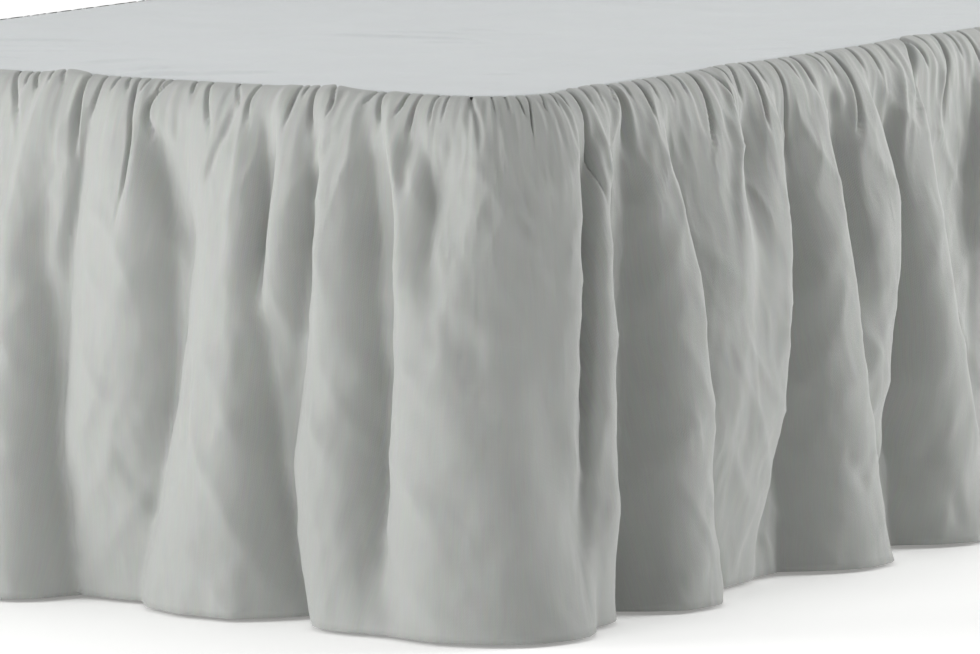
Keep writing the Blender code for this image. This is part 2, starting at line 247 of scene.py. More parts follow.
# Gathers along the seen stretch of the seam: where each trough starts on the seam, where it is
# half way and at its end, how far down it runs, how deep it is, and its half width either side.
PUCKER_COLUMNS = ("seam", "mid", "end", "length", "depth", "left", "right")
SEEN_PUCKERS = (
    (-0.590, -0.577, -0.562, 0.058, 0.0080, 0.0026, 0.0026),
    (-0.575, -0.574, -0.571, 0.014, 0.0060, 0.0018, 0.0018),
    (-0.566, -0.561, -0.556, 0.018, 0.0080, 0.0018, 0.0018),
    (-0.549, -0.547, -0.545, 0.010, 0.0040, 0.0016, 0.0016),
    (-0.536, -0.531, -0.527, 0.011, 0.0055, 0.0018, 0.0018),
    (-0.505, -0.504, -0.500, 0.085, 0.0130, 0.0045, 0.0020),
    (-0.487, -0.489, -0.496, 0.046, 0.0090, 0.0020, 0.0018),
    (-0.472, -0.472, -0.474, 0.012, 0.0055, 0.0016, 0.0016),
    (-0.460, -0.456, -0.452, 0.014, 0.0050, 0.0016, 0.0016),
    (-0.449, -0.436, -0.445, 0.150, 0.0100, 0.0018, 0.0018),
    (-0.437, -0.438, -0.440, 0.012, 0.0060, 0.0015, 0.0015),
    (-0.421, -0.421, -0.421, 0.011, 0.0055, 0.0015, 0.0015),
    (-0.411, -0.424, -0.402, 0.064, 0.0110, 0.0026, 0.0018),
    (-0.384, -0.381, -0.379, 0.012, 0.0070, 0.0018, 0.0018),
    (-0.365, -0.356, -0.343, 0.050, 0.0080, 0.0020, 0.0018),
    (-0.335, -0.326, -0.320, 0.022, 0.0065, 0.0016, 0.0016),
    (-0.309, -0.311, -0.299, 0.040, 0.0070, 0.0022, 0.0018),
    (-0.262, -0.262, -0.262, 0.036, 0.0090, 0.0018, 0.0018),
    (-0.254, -0.253, -0.250, 0.010, 0.0050, 0.0015, 0.0015),
    (-0.242, -0.238, -0.230, 0.046, 0.0090, 0.0024, 0.0018),
    (-0.224, -0.217, -0.222, 0.026, 0.0090, 0.0020, 0.0018),
    (-0.178, -0.183, -0.189, 0.014, 0.0050, 0.0020, 0.0020),
    (-0.168, -0.164, -0.157, 0.034, 0.0080, 0.0026, 0.0018),
    (-0.142, -0.142, -0.149, 0.022, 0.0085, 0.0018, 0.0018),
    (-0.127, -0.127, -0.126, 0.044, 0.0100, 0.0018, 0.0018),
    (-0.109, -0.107, -0.103, 0.030, 0.0050, 0.0020, 0.0020),
    (-0.090, -0.089, -0.088, 0.024, 0.0030, 0.0025, 0.0025),
    (-0.054, -0.038, -0.044, 0.060, 0.0040, 0.0040, 0.0040),
    (-0.020, -0.018, -0.016, 0.020, 0.0025, 0.0030, 0.0030),
    (0.002, 0.003, 0.004, 0.016, 0.0025, 0.0030, 0.0030),
    (0.020, 0.022, 0.024, 0.020, 0.0045, 0.0020, 0.0020),
    (0.038, 0.031, 0.032, 0.040, 0.0070, 0.0016, 0.0018),
    (0.067, 0.059, 0.058, 0.015, 0.0065, 0.0016, 0.0016),
    (0.090, 0.084, 0.080, 0.014, 0.0055, 0.0016, 0.0016),
    (0.108, 0.104, 0.100, 0.014, 0.0040, 0.0016, 0.0016),
    (0.127, 0.120, 0.126, 0.110, 0.0130, 0.0018, 0.0026),
    (0.150, 0.146, 0.142, 0.018, 0.0030, 0.0025, 0.0025),
    (0.172, 0.165, 0.160, 0.020, 0.0030, 0.0025, 0.0025),
    (0.201, 0.188, 0.182, 0.018, 0.0070, 0.0020, 0.0020),
    (0.205, 0.202, 0.197, 0.075, 0.0080, 0.0050, 0.0050),
    (0.225, 0.222, 0.220, 0.016, 0.0030, 0.0020, 0.0020),
    (0.249, 0.245, 0.240, 0.038, 0.0090, 0.0022, 0.0020),
    (0.268, 0.266, 0.262, 0.022, 0.0030, 0.0025, 0.0025),
    (0.296, 0.294, 0.290, 0.030, 0.0035, 0.0030, 0.0030),
    (0.322, 0.320, 0.316, 0.022, 0.0030, 0.0025, 0.0025),
    (0.351, 0.344, 0.322, 0.085, 0.0130, 0.0024, 0.0024),
    (0.378, 0.393, 0.380, 0.046, 0.0060, 0.0015, 0.0015),
    (0.404, 0.406, 0.404, 0.020, 0.0030, 0.0022, 0.0022),
    (0.427, 0.419, 0.423, 0.034, 0.0050, 0.0025, 0.0025),
    (0.452, 0.450, 0.444, 0.068, 0.0110, 0.0022, 0.0022),
    (0.470, 0.471, 0.472, 0.022, 0.0030, 0.0020, 0.0020),
    (0.502, 0.502, 0.503, 0.110, 0.0110, 0.0020, 0.0024),
    (0.530, 0.532, 0.534, 0.024, 0.0030, 0.0025, 0.0025),
    (0.552, 0.556, 0.560, 0.040, 0.0040, 0.0030, 0.0030),
    (0.584, 0.586, 0.590, 0.024, 0.0030, 0.0025, 0.0025),
    (0.602, 0.606, 0.610, 0.026, 0.0035, 0.0025, 0.0025),
    (0.622, 0.624, 0.598, 0.100, 0.0140, 0.0035, 0.0035),
    (0.662, 0.664, 0.666, 0.026, 0.0030, 0.0025, 0.0025),
    (0.690, 0.692, 0.694, 0.034, 0.0045, 0.0030, 0.0030),
    (0.722, 0.722, 0.722, 0.024, 0.0030, 0.0025, 0.0025),
    (0.774, 0.787, 0.790, 0.030, 0.0080, 0.0024, 0.0024),
    (0.772, 0.752, 0.722, 0.090, 0.0100, 0.0060, 0.0060),
    (0.800, 0.806, 0.812, 0.026, 0.0030, 0.0025, 0.0025),
    (0.836, 0.826, 0.814, 0.095, 0.0070, 0.0030, 0.0030),
    (0.862, 0.864, 0.862, 0.030, 0.0040, 0.0030, 0.0030),
    (0.890, 0.896, 0.902, 0.060, 0.0060, 0.0030, 0.0030),
)
SEEN_FROM = -0.612
SEEN_TO = 0.905

# Beyond those the gathers follow a rule.
PUCKER_SPACING = (0.014, 0.030)
STRONG_PUCKER_SHARE = 0.34
STRONG_PUCKER_LENGTH = (0.060, 0.130)
STRONG_PUCKER_DEPTH = (0.008, 0.012)
SMALL_PUCKER_LENGTH = (0.018, 0.048)
SMALL_PUCKER_DEPTH = (0.0030, 0.0070)
PUCKER_HALF_WIDTH = (0.0020, 0.0034)
PUCKER_BEND = 0.008
PUCKER_LEAN = 0.016
GATHER_HEIGHT_SEAM = 0.0012
GATHER_HEIGHT = 0.0050
GATHER_FULL_DROP = 0.035
GATHER_END_DROP = 0.170

# Where the gathers stand a little proud of the seam: the place, the height and the half width.
SEAM_LIFTS = (
    (-0.530, 0.0042, 0.024),
    (-0.235, 0.0030, 0.034),
    (0.170, 0.0022, 0.030),
    (0.430, 0.0020, 0.040),
    (0.790, 0.0024, 0.040),
)
SEAM_LIFT_FADE = 0.012

# The finest gathers: how far apart, how long and how high they are, and where they end.
FINE_ACROSS = 0.0075
FINE_DOWN = 0.045
FINE_HEIGHT = 0.0015
FINE_END = 0.110
PUCKER_SHARPNESS = 2.2
PUCKER_SEAM_DEPTH = 0.0042
PUCKER_BLEND_POWER = 3.0
PUCKER_REACH = 0.09
PUCKER_WIDE_DROP = 0.03
PUCKER_OPEN_DROP = 0.014
FINE_START = 0.006
PLEAT_REACH = 0.12
PLEAT_POWER = 1.5

# Narrow ridges that run down from the gathers: the drops where each starts and ends, where it
# is at its top, half way and at its foot, its height, and its half width either side.
PLEAT_COLUMNS = ("top_drop", "low_drop", "top", "mid", "low", "height", "left", "right")
SEEN_PLEATS = (
    (0.008, 0.180, -0.546, -0.558, -0.564, 0.0044, 0.0060, 0.0140),
    (0.015, 0.150, -0.431, -0.428, -0.434, 0.0039, 0.0050, 0.0140),
    (0.008, 0.220, -0.313, -0.310, -0.302, 0.0033, 0.0060, 0.0060),
    (0.006, 0.230, -0.277, -0.266, -0.286, 0.0050, 0.0060, 0.0140),
    (0.004, 0.260, -0.228, -0.209, -0.195, 0.0055, 0.0060, 0.0140),
    (0.014, 0.095, -0.189, -0.185, -0.185, 0.0039, 0.0060, 0.0080),
    (0.004, 0.240, -0.157, -0.121, -0.098, 0.0044, 0.0060, 0.0100),
    (0.020, 0.180, -0.116, -0.092, -0.072, 0.0022, 0.0060, 0.0140),
    (0.020, 0.210, -0.040, -0.046, -0.070, 0.0022, 0.0060, 0.0140),
    (0.010, 0.170, 0.067, 0.050, 0.034, 0.0017, 0.0040, 0.0080),
    (0.002, 0.090, 0.130, 0.127, 0.128, 0.0022, 0.0060, 0.0060),
    (0.004, 0.085, 0.190, 0.172, 0.130, 0.0033, 0.0060, 0.0060),
    (0.002, 0.120, 0.262, 0.226, 0.210, 0.0022, 0.0060, 0.0060),
    (0.016, 0.190, 0.238, 0.243, 0.252, 0.0028, 0.0060, 0.0060),
    (0.006, 0.165, 0.398, 0.370, 0.350, 0.0039, 0.0050, 0.0080),
    (0.006, 0.100, 0.458, 0.447, 0.449, 0.0033, 0.0060, 0.0080),
    (0.020, 0.250, 0.623, 0.606, 0.614, 0.0033, 0.0040, 0.0100),
    (0.020, 0.115, 0.695, 0.691, 0.667, 0.0028, 0.0060, 0.0060),
    (0.020, 0.170, 0.730, 0.706, 0.696, 0.0055, 0.0060, 0.0050),
    (0.020, 0.100, 0.826, 0.816, 0.812, 0.0028, 0.0050, 0.0080),
    (0.030, 0.270, 0.874, 0.860, 0.865, 0.0033, 0.0060, 0.0100),
)

# Creases and soft ridges lower down: where each starts and ends, its height (minus for a
# trough), and its half width to the left and to the right of the way it runs.
CREASE_COLUMNS = ("start", "start_drop", "end", "end_drop", "height", "left", "right")
SEEN_CREASES = (
    (-0.424, 0.045, -0.372, 0.155, -0.0070, 0.010, 0.014),
    (-0.326, 0.026, -0.342, 0.080, -0.0050, 0.004, 0.005),
    (-0.125, 0.040, -0.122, 0.086, -0.0085, 0.008, 0.008),
    (-0.206, 0.044, -0.224, 0.095, -0.0040, 0.007, 0.006),
    (0.136, 0.006, 0.142, 0.090, 0.0030, 0.005, 0.005),
    (0.582, 0.008, 0.604, 0.045, 0.0030, 0.006, 0.006),
    (-0.298, 0.222, -0.286, 0.232, -0.0030, 0.006, 0.006),
    (-0.346, 0.262, -0.338, 0.340, -0.0045, 0.008, 0.004),
    (-0.448, 0.290, -0.395, 0.270, -0.0030, 0.010, 0.014),
    (-0.432, 0.345, -0.388, 0.420, -0.0035, 0.012, 0.018),
    (-0.286, 0.240, -0.284, 0.274, -0.0030, 0.005, 0.007),
    (-0.152, 0.230, -0.134, 0.284, -0.0035, 0.010, 0.006),
    (-0.174, 0.268, -0.114, 0.378, -0.0025, 0.020, 0.016),
    (-0.166, 0.324, -0.128, 0.324, 0.0020, 0.014, 0.014),
    (-0.072, 0.214, -0.038, 0.350, 0.0030, 0.016, 0.014),
    (-0.050, 0.236, -0.042, 0.226, -0.0025, 0.005, 0.005),
    (-0.038, 0.222, -0.036, 0.254, -0.0025, 0.005, 0.005),
    (-0.028, 0.300, -0.002, 0.304, -0.0015, 0.006, 0.006),
    (0.000, 0.108, 0.018, 0.124, -0.0022, 0.005, 0.005),
    (0.002, 0.462, 0.026, 0.498, 0.0025, 0.006, 0.008),
    (0.014, 0.466, 0.028, 0.498, -0.0020, 0.005, 0.005),
    (0.046, 0.430, 0.048, 0.500, 0.0030, 0.008, 0.008),
    (-0.104, 0.466, -0.082, 0.484, -0.0025, 0.012, 0.012),
    (-0.118, 0.440, -0.100, 0.500, 0.0035, 0.008, 0.010),
    (-0.276, 0.455, -0.266, 0.500, 0.0030, 0.010, 0.010),
    (-0.492, 0.440, -0.478, 0.500, 0.0040, 0.012, 0.012),
    (0.164, 0.464, 0.192, 0.476, -0.0025, 0.004, 0.006),
    (0.524, 0.390, 0.548, 0.416, -0.0030, 0.008, 0.008),
    (0.704, 0.400, 0.714, 0.416, -0.0030, 0.008, 0.008),
    (0.734, 0.450, 0.748, 0.480, -0.0030, 0.008, 0.008),
)
CREASE_SPACING = 0.055

# Slack in the cloth that no one crease explains: across and down spans of each layer, how far
# it lifts the cloth, how it leans (across for each metre down), whether it is creased, and its
# seed.
SLACK_COLUMNS = ("across", "down", "height", "lean", "creased", "seed")
SLACK_LAYERS = (
    (0.060, 0.140, 0.0020, 0.0, False, 5),
    (0.026, 0.070, 0.0010, 0.3, False, 6),
    (0.012, 0.030, 0.0003, 0.0, False, 7),
    (0.052, 0.105, 0.0042, 0.7, True, 8),
    (0.046, 0.090, 0.0040, -0.6, True, 9),
    (0.026, 0.050, 0.0020, 0.25, True, 10),
    (0.015, 0.026, 0.0010, -0.35, True, 11),
)

SLACK_FULL_DROP = 0.06

# The fine columns above UPPER_END, and how many of them make one column below it. Over
# JOIN_FADE above that line they straighten to meet the wide ones.
SEEN_COLUMN_STEP = 0.00125
OTHER_COLUMN_STEP = 0.0042
COLUMNS_IN_ONE = 3
ROLL_ROWS = 11
UPPER_STEP = 0.006
UPPER_END = 0.150
LOWER_STEP = 0.008
JOIN_FADE = 0.070
HEM_TURN = 0.015

HEM_GAP = 0.0012
SHEET_OUT = 0.001
LEAST_OUT = 0.005
LEAST_OUT_BLEND = 0.002


def smooth_step(share):
    share = np.clip(share, 0.0, 1.0)
    return share * share * (3 - 2 * share)


def soft_noise(across, down, seed):
    """Smooth random values between -1 and 1 that change over about one unit."""
    lattice = np.random.default_rng(seed).uniform(-1, 1, (97, 89))
    column, row = np.floor(across).astype(int), np.floor(down).astype(int)
    u, v = smooth_step(across - column), smooth_step(down - row)
    corners = [lattice[(column + i) % 97, (row + j) % 89] for j in (0, 1) for i in (0, 1)]
    upper = corners[0] + (corners[1] - corners[0]) * u
    lower = corners[2] + (corners[3] - corners[2]) * u
    return upper + (lower - upper) * v


def unseen_puckers():
    """Gathers for the rest of the seam, out to both ends."""
    dice = random.Random(UNSEEN_SEED + 1)
    rows = []
    for start, end, way in ((SEEN_TO, RIGHT_END, 1), (SEEN_FROM, LEFT_END, -1)):
        seam = start
        while abs(seam) < abs(end) - 0.012:
            seam += way * dice.uniform(*PUCKER_SPACING)
            strong = dice.random() < STRONG_PUCKER_SHARE
            length = dice.uniform(*(STRONG_PUCKER_LENGTH if strong else SMALL_PUCKER_LENGTH))
            depth = dice.uniform(*(STRONG_PUCKER_DEPTH if strong else SMALL_PUCKER_DEPTH))
            wide = dice.uniform(*PUCKER_HALF_WIDTH)
            bend = dice.uniform(-PUCKER_BEND, PUCKER_BEND)
            lean = dice.uniform(-PUCKER_LEAN, PUCKER_LEAN)
            rows.append((seam, seam + bend, seam + lean, length, depth, wide, wide * 1.1))
    return rows


def unseen_creases():
    """Soft creases for the stretches that only a rule describes."""
    dice = random.Random(UNSEEN_SEED + 2)
    rows = []
    for start, end in ((SEEN_TO, RIGHT_END), (LEFT_END, SEEN_FROM)):
        for _ in range(round((end - start) / CREASE_SPACING)):
            along, drop = dice.uniform(start, end), dice.uniform(0.10, 0.44)
            run, fall = dice.uniform(-0.03, 0.03), dice.uniform(0.01, 0.06)
            height = dice.choice((-1, 1)) * dice.uniform(0.0015, 0.0035)
            rows.append((along, drop, along + run, drop + fall, height, 0.007, 0.009))
    return rows


def curve_through(first, middle, last, t):
    """A smooth path through three values, at t of 0, a half and 1."""
    return first * (1 - t) * (1 - 2 * t) + middle * 4 * t * (1 - t) + last * t * (2 * t - 1)


def pleat_lift(along, drop):
    """How far the narrow ridges stand up from the folds that they ride on."""
    lift = np.zeros_like(along)
    for row in SEEN_PLEATS:
        pleat = dict(zip(PLEAT_COLUMNS, row))
        t = (drop - pleat["top_drop"]) / (pleat["low_drop"] - pleat["top_drop"])
        near = (t > -0.1) & (t < 1.3) & (np.abs(along - pleat["mid"]) < PLEAT_REACH)
        t = t[near]
        offset = along[near] - curve_through(pleat["top"], pleat["mid"], pleat["low"], t)
        width = np.where(offset < 0, pleat["left"], pleat["right"]) * (1 + 0.5 * np.clip(t, 0, 1))
        ends = smooth_step((t + 0.1) / 0.25) * smooth_step((1.3 - t) / 0.8)
        lift[near] += pleat["height"] * ends * np.exp(-((np.abs(offset) / width) ** PLEAT_POWER))
    return lift


def gather_lift(along, drop):
    """How far the gathers lift the cloth: full between troughs, low or below zero in them."""
    troughs = np.zeros_like(along)
    for row in (*SEEN_PUCKERS, *unseen_puckers()):
        pucker = dict(zip(PUCKER_COLUMNS, row))
        share = drop / pucker["length"]
        near = (share < 1) & (np.abs(along - pucker["seam"]) < PUCKER_REACH)
        if not near.any():
            continue
        t = share[near]
        offset = along[near] - curve_through(pucker["seam"], pucker["mid"], pucker["end"], t)
        growth = 0.7 + 0.3 * smooth_step(drop[near] / PUCKER_WIDE_DROP)
        width = np.where(offset < 0, pucker["left"], pucker["right"]) * growth
        shape = np.exp(-((np.abs(offset) / width) ** PUCKER_SHARPNESS))
        seam_depth = min(PUCKER_SEAM_DEPTH, pucker["depth"])
        opened = smooth_step(drop[near] / min(PUCKER_OPEN_DROP, pucker["length"] * 0.4))
        depth = seam_depth + (pucker["depth"] - seam_depth) * opened
        fade = 1 - smooth_step((t - 0.4) / 0.6)
        troughs[near] += (depth * fade * shape) ** PUCKER_BLEND_POWER
    proud = sum(h * np.exp(-(((along - at) / half) ** 2)) for at, h, half in SEAM_LIFTS)
    full = smooth_step(drop / GATHER_FULL_DROP)
    ridge = GATHER_HEIGHT_SEAM + (GATHER_HEIGHT - GATHER_HEIGHT_SEAM) * full
    ridge *= 1 - smooth_step((drop - GATHER_FULL_DROP) / (GATHER_END_DROP - GATHER_FULL_DROP))
    ridge += proud * np.exp(-drop / SEAM_LIFT_FADE)
    fine = soft_noise(along / FINE_ACROSS + 80, drop / FINE_DOWN + along * 5, 31)
    fine *= smooth_step(drop / FINE_START) * (1 - smooth_step(drop / FINE_END))
    ridge += FINE_HEIGHT * fine
    return ridge - troughs ** (1 / PUCKER_BLEND_POWER)


def crease_lift(along, drop):
    """How far the creases and ridges lift the cloth or press it in."""
    lift = np.zeros_like(along)
    for row in (*SEEN_CREASES, *unseen_creases()):
        crease = dict(zip(CREASE_COLUMNS, row))
        run, fall = crease["end"] - crease["start"], crease["end_drop"] - crease["start_drop"]
        length = math.hypot(run, fall)
        ahead = ((along - crease["start"]) * run + (drop - crease["start_drop"]) * fall) / length
        aside = ((along - crease["start"]) * fall - (drop - crease["start_drop"]) * run) / length
        width = np.where(aside < 0, crease["left"], crease["right"])
        near = (np.abs(aside) < 3 * width) & (ahead > -length * 0.3) & (ahead < length * 1.3)
        if not near.any():
            continue
        t = ahead[near] / length
        ends = smooth_step((t + 0.25) / 0.4) * smooth_step((1.25 - t) / 0.4)
        lift[near] += crease["height"] * ends * np.exp(-((aside[near] / width[near]) ** 2))
    return lift


def slack_lift(along, drop):
    """Small uneven slack, none at the seam and full from a little below it."""
    lift = np.zeros_like(along)
    for row in SLACK_LAYERS:
        layer = dict(zip(SLACK_COLUMNS, row))
        column = (along + drop * layer["lean"]) / layer["across"] + 40
        noise = soft_noise(column, drop / layer["down"] + 3 + along * 2, layer["seed"])
        if layer["creased"]:
            noise = 0.5 - np.sqrt(np.abs(noise))
        lift += layer["height"] * noise
    return lift * smooth_step(drop / SLACK_FULL_DROP)


def skirt_surface(along, drop):
    """Points of the finished cloth."""
    x, y, out_x, out_y = line_point(along)
    out = swing(along, drop) - MEASURE_OUT + SHEET_OUT
    lift = gather_lift(along, drop) + pleat_lift(along, drop)
    lift += crease_lift(along, drop) + slack_lift(along, drop)
    upright = 1 - np.clip(drop / ROLL_DROP, 0, 1)
    sideways = np.sqrt(1 - upright**2)
    out = out + MEASURE_OUT + lift * sideways
    least = LEAST_OUT * smooth_step(drop / ROLL_DROP) - LEAST_OUT_BLEND
    out = least + (out - least + np.hypot(out - least, LEAST_OUT_BLEND)) / 2 - MEASURE_OUT
    z = SEAM_HEIGHT - drop + lift * upright
    return np.stack([x + out * out_x, y + out * out_y, z], axis=-1)


def evenly(start, end, step, steps_in_one=1):
    """Even places from start to end, as near the step as a whole number of groups allows."""
    groups = max(1, round(abs(end - start) / step / steps_in_one))
    return np.linspace(start, end, groups * steps_in_one + 1)


def skirt_columns():
    return np.concatenate([
        evenly(LEFT_END, SEEN_FROM, OTHER_COLUMN_STEP, COLUMNS_IN_ONE)[:-1],
        evenly(SEEN_FROM, SEEN_TO, SEEN_COLUMN_STEP, COLUMNS_IN_ONE),
        evenly(SEEN_TO, RIGHT_END, OTHER_COLUMN_STEP, COLUMNS_IN_ONE)[1:],
    ])


def upper_drops():
    turn = np.linspace(0, math.pi / 2, ROLL_ROWS)
    roll = ROLL_DROP * (1 - np.cos(turn))
    return np.concatenate([roll[:-1], evenly(ROLL_DROP, UPPER_END, UPPER_STEP)])


def quads_of(index):
    """The faces between neighbouring rows and columns of a grid of point numbers."""
    return np.stack([index[:-1, :-1], index[1:, :-1], index[1:, 1:], index[:-1, 1:]], -1).reshape(-1, 4)


def cloth_mesh(name, points, faces, across, down):
    """A smooth-shaded mesh with its cloth coordinates in metres."""
    mesh = bpy.data.meshes.new(name)
    mesh.from_pydata(points.tolist(), [], faces)
    mesh.shade_smooth()
    layer = mesh.uv_layers.new(name="cloth")
    corners = np.zeros(len(mesh.loops), np.int32)
    mesh.loops.foreach_get("vertex_index", corners)
    places = np.stack([across, down], -1)[corners]
    layer.uv.foreach_set("vector", places.astype(np.float32).ravel())
    return mesh


def skirt_mesh():
    """The skirt's sheet: fine columns at the gathers, wider ones below, and a turned hem."""
    fine = skirt_columns()
    wide = fine[::COLUMNS_IN_ONE]
    upper, lower = upper_drops(), evenly(UPPER_END, DROP, LOWER_STEP)[1:]
    upper_face = skirt_surface(*np.meshgrid(fine, upper))
    steps = np.arange(len(fine))
    group = np.minimum(steps // COLUMNS_IN_ONE, len(wide) - 2)
    part = (steps / COLUMNS_IN_ONE - group)[None, :, None]
    straight = upper_face[:, group * COLUMNS_IN_ONE] * (1 - part)
    straight += upper_face[:, (group + 1) * COLUMNS_IN_ONE] * part
    share = smooth_step((upper - UPPER_END + JOIN_FADE) / JOIN_FADE)[:, None, None]
    upper_face += (straight - upper_face) * share
    lower_face = skirt_surface(*np.meshgrid(wide, lower))
    _, _, out_x, out_y = line_point(wide)
    inward = np.stack([-out_x, -out_y, np.zeros_like(out_x)], -1)
    turned = [lower_face[-1] + inward * HEM_GAP, lower_face[-3] + inward * HEM_GAP * 1.3]
    lower_face = np.concatenate([lower_face, np.stack(turned)])
    first = np.arange(len(upper) * len(fine)).reshape(len(upper), len(fine))
    second = first.size + np.arange(lower_face.shape[0] * len(wide)).reshape(-1, len(wide))
    join = [
        [*first[-1, column * COLUMNS_IN_ONE : (column + 1) * COLUMNS_IN_ONE + 1][::-1],
         second[0, column], second[0, column + 1]]
        for column in range(len(wide) - 1)
    ]
    faces = [*quads_of(first).tolist(), *np.array(join).tolist(), *quads_of(second).tolist()]
    hem_steps = np.linalg.norm(np.diff(lower_face[-3], axis=0), axis=1)
    cut = np.concatenate([[0.0], np.cumsum(hem_steps)])
    falls = np.concatenate([lower, [DROP + HEM_GAP, DROP + HEM_TURN]])
    fine_cut, upper_fall = np.meshgrid(np.interp(fine, wide, cut), upper)
    wide_cut, lower_fall = np.meshgrid(cut, falls)
    points = np.concatenate([upper_face.reshape(-1, 3), lower_face.reshape(-1, 3)])
    across = np.concatenate([fine_cut.ravel(), wide_cut.ravel()])
    down = np.concatenate([upper_fall.ravel(), lower_fall.ravel()])
    return cloth_mesh("skirt_cloth", points, faces, across, down)


def grid_mesh(name, grid, across, down):
    """A mesh over a plain grid of points."""
    index = np.arange(grid.shape[0] * grid.shape[1]).reshape(grid.shape[:2])
    return cloth_mesh(name, grid.reshape(-1, 3), quads_of(index).tolist(), across.ravel(), down.ravel())


def link(name, mesh):
    thing = bpy.data.objects.new(name, mesh)
    bpy.context.scene.collection.objects.link(thing)
    return thing


# Colours and materials.


def linear(hex_colour):
    """An sRGB hex colour as the linear colour that a shader takes."""
    parts = [int(hex_colour[i : i + 2], 16) / 255 for i in (1, 3, 5)]
    return (*(p / 12.92 if p <= 0.04045 else ((p + 0.055) / 1.055) ** 2.4 for p in parts), 1.0)


def add_node(tree, kind, inputs=None, **settings):
    """A node with its settings, its input values and its links."""
    made = tree.nodes.new(kind)
    for key, value in settings.items():
        setattr(made, key, value)
    for key, value in (inputs or {}).items():
        if isinstance(value, bpy.types.NodeSocket):
            tree.links.new(value, made.inputs[key])
        else:
            made.inputs[key].default_value = value
    return made


def new_material(name):
    """An empty material with its output, and its tree."""
    material = bpy.data.materials.new(name)
    material.use_nodes = True
    material.node_tree.nodes.clear()
    return material, material.node_tree


def plain_weave(tree, pitch, coordinates):
    """Height of a plain weave of that thread spacing, from cloth coordinates in metres."""
    split = add_node(tree, "ShaderNodeSeparateXYZ", {0: coordinates})
    threads = []
    for axis in (0, 1):
        turned = add_node(
            tree, "ShaderNodeMath", {0: split.outputs[axis], 1: math.pi / pitch}, operation="MULTIPLY"
        )
        wave = add_node(tree, "ShaderNodeMath", {0: turned.outputs[0]}, operation="SINE")
        threads.append(add_node(tree, "ShaderNodeMath", {0: wave.outputs[0]}, operation="ABSOLUTE"))
    over = add_node(
        tree, "ShaderNodeTexChecker",
        {"Vector": coordinates, "Scale": 1 / pitch, "Color1": (1, 1, 1, 1), "Color2": (0, 0, 0, 1)},
    )
    return add_node(
        tree, "ShaderNodeMix",
        {0: over.outputs["Fac"], 2: threads[0].outputs[0], 3: threads[1].outputs[0]},
    ).outputs[0]


def crinkles(tree, coordinates, across, down):
    """Height of the small sharp creases left from washing, at those spans in metres."""
    spread = add_node(
        tree, "ShaderNodeMapping", {"Vector": coordinates, "Scale": (1 / across, 1 / down, 1.0)}
    )
    return add_node(
        tree, "ShaderNodeTexNoise",
        {"Vector": spread.outputs[0], "Scale": 1.0, "Detail": 3.0, "Roughness": 0.55,
         "Distortion": 0.6},
        noise_type="RIDGED_MULTIFRACTAL",
    ).outputs[0]


def cotton_material(name, colour, pitch, thread_height, crinkle_height):
    """Plain-weave cotton, piece-dyed and washed: matt, with a soft bloom from its fibre ends.

    The bloom lifts faces that turn away from the eye. Its real threads lie about 0.35 mm
    apart, too fine to show, so the weave is drawn coarser.
    """
    material, tree = new_material(name)
    coordinates = add_node(tree, "ShaderNodeUVMap", uv_map="cloth").outputs[0]
    weave = plain_weave(tree, pitch, coordinates)
    stretch = add_node(
        tree, "ShaderNodeMapping", {"Vector": coordinates, "Scale": (900.0, 35.0, 1.0)}
    )
    slubs = add_node(
        tree, "ShaderNodeTexNoise", {"Vector": stretch.outputs[0], "Scale": 1.0, "Detail": 2.0}
    )
    mottle = add_node(
        tree, "ShaderNodeTexNoise", {"Vector": coordinates, "Scale": 9.0, "Detail": 4.0}
    )
    base = linear(colour)
    lighter = tuple(min(1.0, c * 1.05) for c in base[:3]) + (1.0,)
    darker = tuple(c * 0.95 for c in base[:3]) + (1.0,)
    worn = add_node(
        tree, "ShaderNodeMix",
        {0: mottle.outputs["Fac"], 6: darker, 7: lighter}, data_type="RGBA",
    )
    threads = add_node(
        tree, "ShaderNodeMix",
        {0: 0.16, 6: worn.outputs[2], 7: slubs.outputs["Color"]},
        data_type="RGBA", blend_type="SOFT_LIGHT",
    )
    raised = add_node(
        tree, "ShaderNodeMath", {0: slubs.outputs["Fac"], 1: 0.5, 2: weave}, operation="MULTIPLY_ADD"
    )
    bump_node = add_node(
        tree, "ShaderNodeBump",
        {"Height": raised.outputs[0], "Strength": 0.35, "Distance": thread_height},
    )
    crinkled = add_node(
        tree, "ShaderNodeBump",
        {"Height": crinkles(tree, coordinates, 0.034, 0.060), "Strength": 1.0,
         "Distance": crinkle_height, "Normal": bump_node.outputs[0]},
    )
    shader = add_node(
        tree, "ShaderNodeBsdfPrincipled",
        {
            "Base Color": threads.outputs[2], "Roughness": 0.88, "IOR": 1.5,
            "Specular IOR Level": 0.25, "Sheen Weight": 0.35, "Sheen Roughness": 0.45,
            "Sheen Tint": (1.0, 1.0, 1.0, 1.0), "Normal": crinkled.outputs[0],
        },
    )
    add_node(tree, "ShaderNodeOutputMaterial", {"Surface": shader.outputs[0]})
    return material


